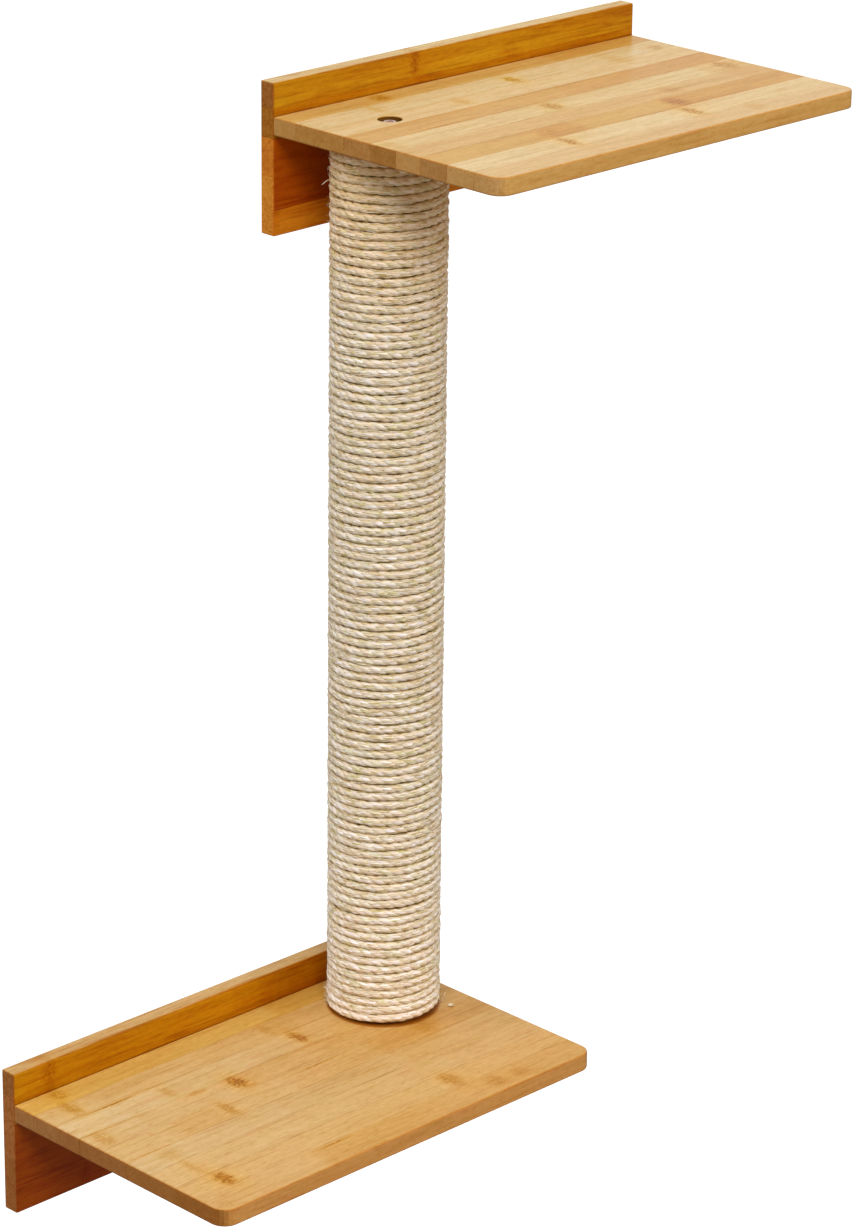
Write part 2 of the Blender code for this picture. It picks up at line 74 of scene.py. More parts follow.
class Field:
    """A value that varies over a surface: a socket whose operators add Math nodes to its material."""

    def __init__(self, socket):
        self.socket = socket

    def node(self, kind, settings=None, sockets=None, output=0):
        """Add a node to this material, with its settings and a value or a field for each socket."""
        tree = self.socket.id_data
        made = tree.nodes.new(kind)
        for name, value in (settings or {}).items():
            if name == "stops":
                set_stops(made.color_ramp, value)
            else:
                setattr(made, name, value)
        for name, value in (sockets or {}).items():
            if isinstance(value, Field):
                tree.links.new(value.socket, made.inputs[name])
            else:
                made.inputs[name].default_value = value
        return Field(made.outputs[output])

    def maths(self, operation, *others):
        """This field and the others put through one Math node."""
        values = dict(enumerate((self, *others)))
        return self.node("ShaderNodeMath", {"operation": operation}, values)

    def __add__(self, other):
        return self.maths("ADD", other)

    __radd__ = __add__

    def __mul__(self, other):
        return self.maths("MULTIPLY", other)

    def __sub__(self, other):
        return self.maths("SUBTRACT", other)

    def __rsub__(self, other):
        return self.node("ShaderNodeMath", {"operation": "SUBTRACT"}, {0: other, 1: self})

    def __truediv__(self, other):
        return self.maths("DIVIDE", other)

    def __gt__(self, other):
        return self.maths("GREATER_THAN", other)

    def __abs__(self):
        return self.maths("ABSOLUTE")

    def between(self, low, high):
        """0 below low, 1 above high and a smooth step between them."""
        settings = {"interpolation_type": "SMOOTHSTEP", "clamp": True}
        sockets = {"Value": self, "From Min": low, "From Max": high}
        return self.node("ShaderNodeMapRange", settings, sockets)

    def hump(self, width):
        """1 where the field is 0, fading out over a width on both sides."""
        share = self * (1 / width)
        return (share * share * -1).maths("EXPONENT")

    def tint(self, plain, tinted):
        """A colour that goes from plain to tinted as the field goes from 0 to 1."""
        sockets = {0: self, 6: plain, 7: tinted}
        return self.node("ShaderNodeMix", {"data_type": "RGBA"}, sockets, output=2)

    def shade(self, colour, tone):
        """The colour multiplied by a tone as far as the field goes from 0 to 1."""
        settings = {"data_type": "RGBA", "blend_type": "MULTIPLY"}
        return self.node("ShaderNodeMix", settings, {0: self, 6: colour, 7: tone}, output=2)


def set_stops(ramp, stops):
    """Give a colour ramp its (place, colour) stops, and hold each colour up to the next one."""
    ramp.interpolation = "CONSTANT"
    while len(ramp.elements) > 1:
        ramp.elements.remove(ramp.elements[-1])
    for number, (place, colour) in enumerate(stops):
        element = ramp.elements[0] if number == 0 else ramp.elements.new(place)
        element.position = place
        element.color = colour


def paint(red, green, blue):
    """A colour given as 0 to 255 on screen, as the linear values that a shader takes."""
    def linear(value):
        share = value / 255
        return share / 12.92 if share <= 0.04045 else ((share + 0.055) / 1.055) ** 2.4
    return (linear(red), linear(green), linear(blue), 1)


def new_finish(name):
    """A material with a plain Principled shader, and its shader."""
    material = bpy.data.materials.new(name)
    material.use_nodes = True
    return material, material.node_tree.nodes["Principled BSDF"]


def surface_fields(material):
    """Object coordinates in millimetres and the surface's own direction, as fields."""
    place = material.node_tree.nodes.new("ShaderNodeTexCoord")
    fields = []
    for output, scale in (("Object", 1 / MM), ("Normal", 1)):
        whole = Field(place.outputs[output])
        scaled = whole.node("ShaderNodeVectorMath", {"operation": "SCALE"}, {0: whole, 3: scale})
        apart = scaled.node("ShaderNodeSeparateXYZ", sockets={0: scaled}).socket.node
        fields.append([Field(socket) for socket in apart.outputs])
    return fields


def speckle(seed, point, sizes, detail=2.0, roughness=0.5):
    """Noise from 0 to 1 at a point of three fields, whose grains have these sizes in millimetres."""
    scaled = {number: field / size for number, (field, size) in enumerate(zip(point, sizes))}
    place = point[0].node("ShaderNodeCombineXYZ", sockets=scaled)
    sockets = {"Vector": place, "W": seed, "Scale": 1.0, "Detail": detail, "Roughness": roughness}
    return place.node("ShaderNodeTexNoise", {"noise_dimensions": "4D"}, sockets)


def wear(material, shader, colour, roughness, height=None, depth=0.0):
    """Link a finish's colour, roughness and, where it has one, its bump height to the shader."""
    links = material.node_tree.links
    links.new(colour.socket, shader.inputs["Base Color"])
    links.new(roughness.socket, shader.inputs["Roughness"])
    if height is not None:
        sockets = {"Height": height, "Distance": depth, "Strength": 1.0}
        bump = height.node("ShaderNodeBump", sockets=sockets)
        links.new(bump.socket, shader.inputs["Normal"])


# Colours that multiply the cane's own
# Darker stretches: darker cane, and in places painted shade
DARKER_CANE_AND_SHADE_TONE = (0.92, 0.78, 0.48, 1)
ARRIS_TONE = (0.90, 0.76, 0.56, 1)
BROAD_TONE = (0.92, 0.86, 0.74, 1)
FLAME_TONE = (0.86, 0.70, 0.40, 1)
STREAK_TONE = (0.80, 0.68, 0.46, 1)
MOTTLE_TONE = (0.92, 0.85, 0.68, 1)
MOTTLE_LIGHT = (1.06, 1.07, 1.12, 1)
OLIVE_CAST = (0.93, 0.93, 0.76, 1)
ROSY_CAST = (1.00, 0.92, 0.90, 1)
FIBRE_TONE = (0.82, 0.72, 0.56, 1)
GLUE_TONE = (0.62, 0.47, 0.28, 1)
KNUCKLE_GLOW = (1.00, 0.86, 0.32, 1)
KNUCKLE_TONE = (0.73, 0.52, 0.02, 1)
KNUCKLE_CORE = (0.68, 0.53, 0.10, 1)
KNUCKLE_FLECK = (1.16, 1.14, 1.10, 1)
# Painted shadow where a shelf meets its plate
SEAM_SHADOW_TONE = (0.60, 0.44, 0.22, 1)
PORE_TONE = (0.78, 0.72, 0.62, 1)

# Sizes of the grains in millimetres: along the board, across it and through it
SWAY_GRAIN = (60, 30, 30)
BROAD_GRAIN = (130, 7, 7)
FLAME_GRAIN = (40, 3.2, 3.2)
STREAK_GRAIN = (38, 1.8, 1.8)
MOTTLE_GRAIN = (5, 2.4, 2.4)
CAST_GRAIN = (24, 5, 5)
FIBRE_GRAIN = (7, 0.40, 0.40)
GLUE_GRAIN = (30, 5, 5)
COMB_GRAIN = (30, 1.2, 1.2)
BLOTCH_GRAIN = (2.2, 2.0, 2.0)
FLECK_GRAIN = (1.6, 2.2, 2.2)
PORE_GRAIN = (0.7, 0.5, 0.5)

# How squarely a surface faces a way where that side's look starts and where it is full
END_FACING = (0.20, 0.95)
SIDE_FACING = (0.60, 0.85)
ARRIS_STARTS = (0.08, 0.25)
ARRIS_STOPS = (0.93, 0.99)

# Widths and places in millimetres; the seam is a painted shadow line where a shelf's top meets its plate
STRIP_SWAY = 0.8
DARKER_FADE = 5
GLUE_LINE = 0.40
SEAM_WIDTH = 0.9
SEAM_FROM_TOP = 22
COMB_REACH = 10

# How fast a knuckle's spot and halo fade, and how far apart the strips' noises are
SPOT_FALL = -0.8
HALO_FALL = -0.25
STRIP_SEED = 3.7
BOARD_BUMP = 0.03 * MM


def in_bands(field, bands, width):
    """The colour of the band that a field from 0 to 1 lies in; bands are (start, colour)."""
    stops = [(start / width, colour) for start, colour in bands]
    return field.node("ShaderNodeValToRGB", {"stops": stops}, {0: field})


def cane_colours(cane, swayed, board, width):
    """The strips' colours, darker along some stretches of cane and of painted shade."""
    along = cane[0]
    colour = in_bands(swayed / width, board["strips"], width)
    for left, right, top, bottom, share in board["darker"]:
        stretch = along.between(left - DARKER_FADE, left + DARKER_FADE)
        stretch = stretch * (1 - along.between(right - DARKER_FADE, right + DARKER_FADE))
        stretch = stretch * (swayed > top) * (1 - (swayed > bottom)) * share
        # Darker cane, and in places painted shade
        colour = stretch.shade(colour, DARKER_CANE_AND_SHADE_TONE)
    return colour


def figured(colour, cane, seed, board):
    """The colour with the cane's figure in it, and the streaks and fibres, which are raised too."""
    broad = speckle(seed, cane, BROAD_GRAIN)
    streak = speckle(seed, cane, STREAK_GRAIN, detail=3, roughness=0.6)
    cast = speckle(seed + 1.3, cane, CAST_GRAIN, detail=4, roughness=0.65)
    mottle = speckle(seed + 2.1, cane, MOTTLE_GRAIN, detail=3, roughness=0.7)
    fibre = speckle(seed, cane, FIBRE_GRAIN, roughness=0.7)
    colour = broad.between(0.40, 0.75).shade(colour, BROAD_TONE)
    if board["flamed"]:
        flame = speckle(seed + 5.3, cane, FLAME_GRAIN, detail=4, roughness=0.6)
        colour = flame.between(0.47, 0.66).shade(colour, FLAME_TONE)
    colour = (streak.between(0.46, 0.74) * board["grain"]).shade(colour, STREAK_TONE)
    colour = mottle.between(0.50, 0.70).shade(colour, MOTTLE_TONE)
    colour = (1 - mottle).between(0.50, 0.70).shade(colour, MOTTLE_LIGHT)
    colour = cast.between(0.53, 0.68).shade(colour, OLIVE_CAST)
    colour = (1 - cast).between(0.53, 0.68).shade(colour, ROSY_CAST)
    colour = fibre.between(0.50, 0.80).shade(colour, FIBRE_TONE)
    return colour, streak, fibre


def glue_lines(cane, swayed, starts, seed):
    """Where two strips meet, from 0 to 1, broken where the glue hardly shows."""
    lines = (swayed - starts[1]).hump(GLUE_LINE)
    for start in starts[2:]:
        lines = lines.maths("MAXIMUM", (swayed - start).hump(GLUE_LINE))
    return lines * speckle(seed, cane, GLUE_GRAIN).between(0.46, 0.66)


def knuckled(colour, cane, strip, knuckles):
    """The colour with the joints of the cane in it: ragged dark spots in amber halos, and flecks."""
    along, across, _ = cane
    comb = (speckle(strip + 31.0, cane, COMB_GRAIN) - 0.5) * COMB_REACH
    blotch = speckle(strip + 37.0, cane, BLOTCH_GRAIN, detail=3, roughness=0.6)
    fleck = speckle(strip + 41.0, cane, FLECK_GRAIN, detail=1)
    spots = []
    halos = []
    for middle, row, half_length, half_width, darkness in knuckles:
        far_along = (along - middle + comb) / half_length
        far_across = (across - row) / half_width
        far = far_along * far_along + far_across * far_across
        spots.append((far * far * SPOT_FALL).maths("EXPONENT") * darkness)
        halos.append((far * HALO_FALL).maths("EXPONENT") * darkness)
    spot = sum(spots)
    halo = sum(halos)
    solid = blotch.between(0.36, 0.56) * 0.70 + 0.30
    colour = (halo * 0.45).maths("MINIMUM", 0.6).shade(colour, KNUCKLE_GLOW)
    colour = (spot * solid).maths("MINIMUM", 1.0).shade(colour, KNUCKLE_TONE)
    colour = (spot.between(0.50, 1.00) * blotch.between(0.45, 0.65)).shade(colour, KNUCKLE_CORE)
    return (halo.between(0.20, 0.50) * fleck.between(0.60, 0.72)).shade(colour, KNUCKLE_FLECK)


def bamboo(name, face, board):
    """Varnished bamboo board. face says where its fields start, and board how it is made up.

    strips are (start, colour) across the board, and ends the same on its end grain. darker lists
    stretches of darker cane and of painted shade, as (left, right, top, bottom, share), and knuckles
    the joints of the cane and thin dark marks between strips, as (along, across, half length, half
    width, darkness).
    Places and lengths are in millimetres. edge is the colour of the long edges, grain how strong the
    streaks are, flamed whether the stain is patchy, and shine the varnish's mirror strength.
    """
    material, shader = new_finish(name)
    (x, y, z), (facing_x, facing_y, facing_z) = surface_fields(material)
    along = x - face["left"]
    if face["upright"]:
        across, deep = face["top"] - z, y
        flat, edge = abs(facing_y), abs(facing_z)
    else:
        across, deep = face["back"] - y, z
        flat, edge = abs(facing_z), abs(facing_y)
    cane = (along, across, deep)
    width = face["width"]
    starts = [start for start, _ in board["strips"]]
    strip = sum(across > start for start in starts[1:])
    seed = strip * STRIP_SEED
    swayed = across + (speckle(strip, cane, SWAY_GRAIN) - 0.5) * STRIP_SWAY

    colour = cane_colours(cane, swayed, board, width)
    colour = edge.between(*SIDE_FACING).tint(colour, board["edge"])
    end_grain = abs(facing_x).between(*END_FACING)
    colour = end_grain.tint(colour, in_bands(across / width, board["ends"], width))
    arris = flat.between(*ARRIS_STARTS) * (1 - flat.between(*ARRIS_STOPS))
    colour = arris.shade(colour, ARRIS_TONE)
    colour, streak, fibre = figured(colour, cane, seed, board)
    lines = glue_lines(cane, swayed, starts, seed)
    colour = lines.shade(colour, GLUE_TONE)
    colour = knuckled(colour, cane, strip, board["knuckles"])
    if face["upright"]:
        # A painted shadow line where the shelf's top meets the plate's front
        front = (facing_y * -1).between(*SIDE_FACING)
        seam = (across - SEAM_FROM_TOP).hump(SEAM_WIDTH) * front
        colour = seam.shade(colour, SEAM_SHADOW_TONE)
    else:
        colour = bored(colour, cane, facing_z, face)
    pores = speckle(strip, cane, PORE_GRAIN, detail=1)
    colour = (end_grain * pores.between(0.45, 0.75)).shade(colour, PORE_TONE)

    roughness = board["roughness"] + fibre * 0.08 + lines * 0.15 + end_grain * 0.20
    height = fibre * 0.5 + streak * 0.5 - lines * 0.8
    wear(material, shader, colour, roughness, height, BOARD_BUMP)
    shader.inputs["Specular IOR Level"].default_value = board["shine"]
    return material


def dress(names, material):
    """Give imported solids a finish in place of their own."""
    for name in names:
        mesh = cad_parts[name].data
        mesh.materials.clear()
        mesh.materials.append(material)


def plate_face(name):
    """Where a back plate's fields start, in millimetres."""
    low, high = (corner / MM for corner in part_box(name))
    return {"upright": True, "left": low.x, "top": high.z, "width": high.z - low.z}


AMBER = paint(199, 145, 18)
AMBER_RIPE = paint(200, 139, 12)
AMBER_DEEP = paint(190, 126, 8)
# The strips under each shelf are painted darker and redder, as painted shade; the upper plate's lowest
# strip is painted paler, as painted light below the shelf's shadow.
AMBER_RED_SHADED = paint(187, 84, 5)
AMBER_BROWN_SHADED = paint(161, 72, 3)
AMBER_PALE_LIT = paint(228, 138, 26)
UPPER_PLATE = {
    "strips": (
        (0, AMBER), (16.7, AMBER_DEEP), (36, AMBER_RED_SHADED), (61, AMBER_RED_SHADED), (82.5, AMBER_PALE_LIT),
    ),
    "darker": (
        (-20, 350, 0, 9.5, 0.5), (-20, 80, 15.5, 22, 0.5), (90, 140, 0, 22, 0.35),
        (230, 350, 0, 22, 0.35), (285, 350, 0, 9.5, 0.4), (140, 230, 61, 82, 0.6),
    ),
    "knuckles": (
        (124, 7, 4, 9, 0.85), (212, 12, 7, 6, 0.4), (46, 12, 9, 5, 0.4), (3, 88, 2, 9, 0.25),
        (128, 27, 4, 9, 0.7), (210, 50, 4, 11, 0.8), (40, 72, 5, 9, 0.3), (250, 74, 4, 9, 0.8),
        (176, 92, 4, 8, 0.9),
    ),
    "ends": (
        (0, paint(162, 104, 48)), (16.7, paint(168, 108, 34)), (36, paint(208, 128, 40)),
        (61, paint(216, 142, 52)), (82.5, paint(214, 138, 50)),
    ),
    "edge": paint(214, 184, 124),
    "grain": 1.4, "flamed": True, "shine": 0.07, "roughness": 0.24,
}
LOWER_PLATE = {
    "strips": (
        (0, AMBER_RIPE), (16.7, AMBER_DEEP), (36, AMBER_BROWN_SHADED), (61, AMBER_BROWN_SHADED), (82.5, AMBER_BROWN_SHADED),
    ),
    "darker": (
        # Those from 190 mm along, by the post, are painted shadow of the post.
        (-20, 350, 3, 9.5, 0.3), (40, 200, 3, 9.5, 0.3), (40, 350, 9.5, 16, 0.6),
        (60, 350, 16, 36, 0.3), (190, 350, 0, 36, 0.5), (215, 308, 0, 36, 0.6),
        (240, 350, 0, 36, 0.6), (60, 160, 82, 101, 0.6),
    ),
    "knuckles": (
        (30, 8, 6, 9, 0.75), (30, 27, 5, 9, 0.6), (268, 25, 4, 9, 0.6), (96, 50, 4, 11, 0.7),
        (20, 66, 8, 7, 0.35), (292, 48, 4, 10, 0.6), (180, 72, 4, 9, 0.7), (58, 92, 4, 8, 0.6),
        (236, 91, 4, 8, 0.7),
    ),
    "ends": ((0, paint(160, 104, 54)), (16, paint(170, 108, 58)), (61, paint(160, 100, 50))),
    "edge": paint(208, 168, 110),
    "grain": 1.4, "flamed": True, "shine": 0.07, "roughness": 0.24,
}

for name, board in (("upper_back_plate", UPPER_PLATE), ("lower_back_plate", LOWER_PLATE)):
    dress([name], bamboo(f"{name}_bamboo", plate_face(name), board))


# Shelves
#
# The same glued-up bamboo, less stained, with two round front corners and a counterbored hole for the
# post's bolt. Three screws through the back plate hold it. A shadow is painted round the post where it
# meets each shelf, and the undersides carry painted shade.

tube_low, tube_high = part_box("post_core_tube")
POST_X = (tube_low.x + tube_high.x) / 2
POST_Y = (tube_low.y + tube_high.y) / 2

# Tones, and how far from the post's axis the dark bore and the painted shadow round the post reach,
# in millimetres. The bore is raw end grain, darkened further as painted shade.
BORE_GRAIN_AND_SHADE_TONE = (0.32, 0.25, 0.09, 1)
BORE_REACH = (8.2, 8.5)
BORE_FACING = (0.3, 0.6)
FOOT_SHADOW_TONE = (0.62, 0.36, 0.10, 1)
FOOT_SHADOW_REACH = (37.0, 39.4)
UNDERSIDE_SHADE_TONE = (1.00, 0.76, 0.42, 1)


def shelf_face(name):
    """Where a shelf's fields start, its bolt hole and the side that the post is on, in millimetres."""
    low, high = (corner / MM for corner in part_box(name))
    return {
        "upright": False, "left": low.x, "back": high.y, "width": high.y - low.y,
        "hole": (POST_X / MM - low.x, high.y - POST_Y / MM),
        "post_side": 1 if name == "lower_shelf" else -1,
    }


def from_axis(one, other):
    """How far a surface lies from an axis, worked out from its two fields across that axis."""
    return (one * one + other * other).maths("SQRT")


def bored(colour, cane, facing_up, face):
    """The colour with a dark bore, a painted shadow round the post and painted shade underneath."""
    along, across, _ = cane
    hole_along, hole_across = face["hole"]
    out = from_axis(along - hole_along, across - hole_across)
    # The bore's wall: raw end grain, darkened further as painted shade
    wall = 1 - abs(facing_up).between(*BORE_FACING)
    colour = ((1 - out.between(*BORE_REACH)) * wall).shade(colour, BORE_GRAIN_AND_SHADE_TONE)
    # A painted shadow where the post meets the shelf
    by_post = (facing_up * face["post_side"]).between(*SIDE_FACING)
    colour = ((1 - out.between(*FOOT_SHADOW_REACH)) * by_post).shade(colour, FOOT_SHADOW_TONE)
    # Painted shade: the underside darker and warmer than the cane
    return (facing_up * -1).between(*SIDE_FACING).shade(colour, UNDERSIDE_SHADE_TONE)


UPPER_SHELF = {
    "strips": (
        (0, paint(206, 167, 97)), (18.7, paint(219, 195, 148)), (41, paint(221, 192, 141)),
        (64, paint(208, 163, 91)), (87, paint(220, 191, 135)), (110, paint(212, 172, 108)),
        (131, paint(208, 163, 83)), (154, paint(223, 196, 145)), (177.5, paint(216, 180, 124)),
    ),
    "darker": (
        (240, 350, 0, 18.7, 0.7), (300, 350, 18.7, 41, 0.3), (275, 350, 41, 64, 0.4),
        (183, 350, 64, 87, 0.4), (245, 350, 64, 87, 0.3), (290, 350, 87, 110, 0.6),
        (-20, 9, 87, 110, 0.3), (298, 350, 110, 131, 0.4), (212, 350, 131, 154, 0.6),
        (100, 128, 131, 154, 0.6), (62, 128, 154, 177, 0.2), (190, 350, 154, 177, 0.25),
    ),
    "knuckles": (
        (84, 9, 7, 8, 0.9), (61, 29, 3, 9, 0.5), (181, 32, 4, 8, 1.0), (272, 40, 5, 17, 0.3),
        (315, 34, 5, 6, 0.7), (116, 51, 5, 8, 0.5), (150, 98, 6, 9, 1.0), (313, 98, 6, 10, 0.8),
        (237, 119, 7, 8, 0.5), (217, 143, 7, 10, 0.9), (100, 143, 8, 8, 0.5), (95, 166, 4, 10, 1.2),
        (207, 166, 4, 10, 1.2), (246, 185, 6, 8, 0.4), (8, 99, 4, 10, 0.35),
        (64, 85.7, 22, 0.8, 0.9), (60, 65.2, 25, 0.8, 0.6), (180, 64.8, 35, 0.7, 0.5),
        (313, 65.2, 16, 0.8, 0.6), (15, 131.3, 12, 0.8, 0.6), (245, 152.6, 32, 0.7, 0.5),
    ),
    "ends": (
        (0, paint(186, 139, 76)), (19, paint(180, 131, 66)), (64, paint(178, 127, 68)),
        (87, paint(166, 116, 54)), (110, paint(191, 144, 84)), (131, paint(176, 128, 72)),
        (154, paint(194, 149, 90)),
    ),
    "edge": paint(209, 162, 93),
    "grain": 0.7, "flamed": False, "shine": 0.12, "roughness": 0.27,
}
LOWER_SHELF = {
    "strips": (
        (0, paint(213, 171, 90)), (19, paint(212, 176, 119)), (41, paint(216, 185, 136)),
        (64, paint(214, 178, 124)), (86, paint(213, 175, 117)), (109, paint(214, 181, 130)),
        (131, paint(214, 175, 117)), (155, paint(215, 174, 112)), (176, paint(214, 173, 112)),
    ),
    "darker": (
        # The first stretch darkens all but the left 45 mm of strips made paler: a painted sheen at the
        # left end.
        (45, 350, 19, 131, 0.25), (215, 350, 0, 19, 0.7), (130, 350, 19, 41, 0.2),
        (192, 350, 19, 41, 0.4), (90, 350, 41, 64, 0.2), (160, 350, 41, 64, 0.3),
        (199, 350, 41, 64, 0.5),
        (128, 350, 64, 86, 0.6), (55, 90, 86, 109, 0.4), (150, 350, 86, 109, 0.3),
        (225, 350, 86, 109, 0.5), (125, 350, 109, 131, 0.3), (230, 350, 109, 131, 0.4),
        (250, 350, 131, 155, 0.4), (225, 350, 155, 176, 0.4), (92, 250, 176, 201, 0.6),
        (250, 350, 176, 201, 0.7),
    ),
    "knuckles": (
        (24, 28, 5, 11, 0.75), (30, 6, 6, 7, 0.7), (50, 41.5, 16, 1.0, 1.0), (85, 52, 4, 9, 0.5),
        (193, 29, 4, 9, 0.4), (201, 51, 4, 9, 1.2), (127, 73, 5, 8, 1.8), (12, 74, 6, 10, 0.6),
        (97, 97, 4, 11, 0.75), (98, 66, 7, 2.5, 0.6), (273, 98, 7, 10, 0.45), (28, 118, 8, 8, 0.35),
        (27, 140, 3, 12, 0.4), (31, 166, 5, 9, 1.5), (231, 165, 6, 10, 0.8), (251, 187, 7, 8, 0.6),
        (272, 188, 6, 6, 0.5), (10, 193, 6, 5, 0.3),
        (20, 64.3, 22, 0.8, 0.6), (195, 66, 20, 0.7, 0.5), (180, 89.6, 14, 0.8, 0.8),
        (14, 108.6, 12, 0.8, 0.6), (204, 120, 12, 0.7, 0.5), (114, 178.6, 14, 0.8, 0.9),
    ),
    "ends": (
        (0, paint(167, 114, 62)), (41, paint(160, 105, 52)), (109, paint(160, 105, 46)),
        (155, paint(156, 99, 36)),
    ),
    "edge": paint(205, 147, 79),
    "grain": 0.7, "flamed": False, "shine": 0.15, "roughness": 0.36,
}

for name, board in (("upper_shelf", UPPER_SHELF), ("lower_shelf", LOWER_SHELF)):
    dress([name], bamboo(f"{name}_bamboo", shelf_face(name), board))


# Screws, bolts, washers, insert nuts, brads and staples
#
# Zinc-plated steel, turned or drawn. The bolts' heads are painted dark away from the socket, as painted
# shade in the bore. They pull the shelves against the post, and the staples hold the rope's ends.

BLOOM_GRAIN = (2.5, 2.5, 2.5)
STEEL_BUMP = 0.02 * MM
BOLT_SHADE_TONE = (0.16, 0.10, 0.08, 1)
BOLT_SHADE_REACH = (3.6, 4.4)


def plated_steel(name, bright, dull, roughness, mark_grain, axis=None):
    """Plated steel with fine turning marks and a patchy bloom.

    mark_grain is the marks' size along x, y and z. Given an axis, it has painted shade away from it.
    """
    material, shader = new_finish(name)
    place, _ = surface_fields(material)
    bloom = speckle(0.0, place, BLOOM_GRAIN, detail=4, roughness=0.6)
    marks = speckle(1.0, place, mark_grain)
    colour = bloom.between(0.35, 0.70).tint(bright, dull)
    if axis is not None:
        # Painted shade: dark away from the axis, on the head's flanks in the bore
        out = from_axis(place[0] - axis.x / MM, place[1] - axis.y / MM)
        colour = out.between(*BOLT_SHADE_REACH).shade(colour, BOLT_SHADE_TONE)
    height = marks * 0.5 + bloom * 0.5
    wear(material, shader, colour, roughness + bloom * 0.20, height, STEEL_BUMP)
    shader.inputs["Metallic"].default_value = 1.0
    return material


ZINC_BRIGHT = paint(205, 203, 196)
ZINC_DULL = paint(160, 158, 152)
BOLT_BRIGHT = paint(220, 198, 188)
BOLT_DULL = paint(180, 156, 146)
BRASSY_BRIGHT = paint(214, 190, 128)
BRASSY_DULL = paint(170, 142, 88)
ENDS = ("upper", "lower")
BRADS_AN_END = 4
bolt_low, bolt_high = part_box("upper_post_bolt")
bolt_middle = (bolt_low + bolt_high) / 2

dress(
    [f"{end}_shelf_screw_{side}" for end in ENDS for side in ("left", "middle", "right")],
    plated_steel("screw_steel", BRASSY_BRIGHT, BRASSY_DULL, 0.30, (0.3, 2.0, 0.3)),
)
dress(
    [f"{end}_post_bolt" for end in ENDS],
    plated_steel("bolt_steel", BOLT_BRIGHT, BOLT_DULL, 0.42, (2.0, 2.0, 0.3), bolt_middle),
)
dress(
    [f"{end}_post_washer" for end in ENDS],
    plated_steel("washer_steel", ZINC_BRIGHT, ZINC_DULL, 0.32, (2.0, 2.0, 0.3)),
)
dress(
    [f"{end}_insert_nut" for end in ENDS],
    plated_steel("insert_zinc", BRASSY_BRIGHT, BRASSY_DULL, 0.38, (1.0, 1.0, 0.6)),
)
dress(
    [f"{end}_plug_brad_{number + 1}" for end in ENDS for number in range(BRADS_AN_END)],
    plated_steel("brad_steel", ZINC_BRIGHT, ZINC_DULL, 0.30, (0.4, 0.4, 0.4)),
)
dress(
    [f"{end}_rope_staple" for end in ENDS],
    plated_steel("staple_steel", ZINC_BRIGHT, ZINC_DULL, 0.25, (0.3, 0.3, 1.5)),
)


# Core tube and end plugs
#
# The tube is wound from grey-brown board. Each plug is turned from pine, bored for the insert nut, and
# tacked into the tube.

CARDBOARD_PALE = paint(172, 148, 116)
CARDBOARD_DARK = paint(132, 108, 80)
CARDBOARD_FLECK_GRAIN = (0.5, 0.5, 0.5)
PLY_GRAIN = (0.6, 0.6, 9.0)
PLY_TONE = (0.85, 0.82, 0.78, 1)
CARDBOARD_BUMP = 0.08 * MM


def wound_board():
    """Grey-brown board with flecks, and with streaks down its outer ply."""
    material, shader = new_finish("wound_cardboard")
    place, _ = surface_fields(material)
    fleck = speckle(2.0, place, CARDBOARD_FLECK_GRAIN, detail=4, roughness=0.7)
    ply = speckle(3.0, place, PLY_GRAIN)
    colour = fleck.between(0.35, 0.70).tint(CARDBOARD_PALE, CARDBOARD_DARK)
    colour = ply.between(0.45, 0.75).shade(colour, PLY_TONE)
    wear(material, shader, colour, 0.80 + fleck * 0.15, fleck, CARDBOARD_BUMP)
    return material


PINE_EARLY = paint(226, 196, 146)
PINE_LATE = paint(196, 150, 92)
RINGS_PER_MM = (0.08, 0.35)
RING_WANDER = 3
RING_WANDER_GRAIN = (25, 25, 60)
PINE_FIBRE_GRAIN = (0.5, 0.5, 9.0)
PINE_FIBRE_TONE = (0.86, 0.80, 0.70, 1)
PINE_BUMP = 0.10 * MM


def turned_pine():
    """Pale softwood with growth rings across its end and a slight fuzz from turning."""
    material, shader = new_finish("plug_pine")
    place, _ = surface_fields(material)
    wander = speckle(4.0, place, RING_WANDER_GRAIN) - 0.5
    ring = (place[1] * RINGS_PER_MM[1] + place[0] * RINGS_PER_MM[0] + wander * RING_WANDER).maths("FRACT")
    fibre = speckle(5.0, place, PINE_FIBRE_GRAIN, detail=3)
    colour = ring.between(0.45, 0.95).tint(PINE_EARLY, PINE_LATE)
    colour = fibre.between(0.50, 0.80).shade(colour, PINE_FIBRE_TONE)
    wear(material, shader, colour, 0.60 + fibre * 0.25, fibre, PINE_BUMP)
    return material


dress(["post_core_tube"], wound_board())
dress([f"{end}_end_plug" for end in ENDS], turned_pine())


# Sisal rope
#
# One three-strand rope, laid right-handed, glued and wound right-handed round the tube from shelf to
# shelf. Its cut ends lie on the wall side, each nipped under a staple.

ROPE_DIAMETER = 6.0 * MM
ROPE_FROM_SHELF = 0.3 * MM
ROPE_TURNS = 100
STRANDS = 3
STRAND_RADIUS = 2.18 * MM
STRAND_OFF_CENTRE = 0.98 * MM
STRAND_LAY = 20 * MM
STRAND_STEP = 1.8 * MM
STRAND_SIDES = 8
ROPE_START_TURN = math.pi / 2
STAPLE_FROM_ROPE_END = 8 * MM
STAPLE_NIP = 0.36
STAPLE_NIP_LENGTH = 4 * MM
ROPE_FLARE = 1.0 * MM
ROPE_FLARE_TURNS = 2

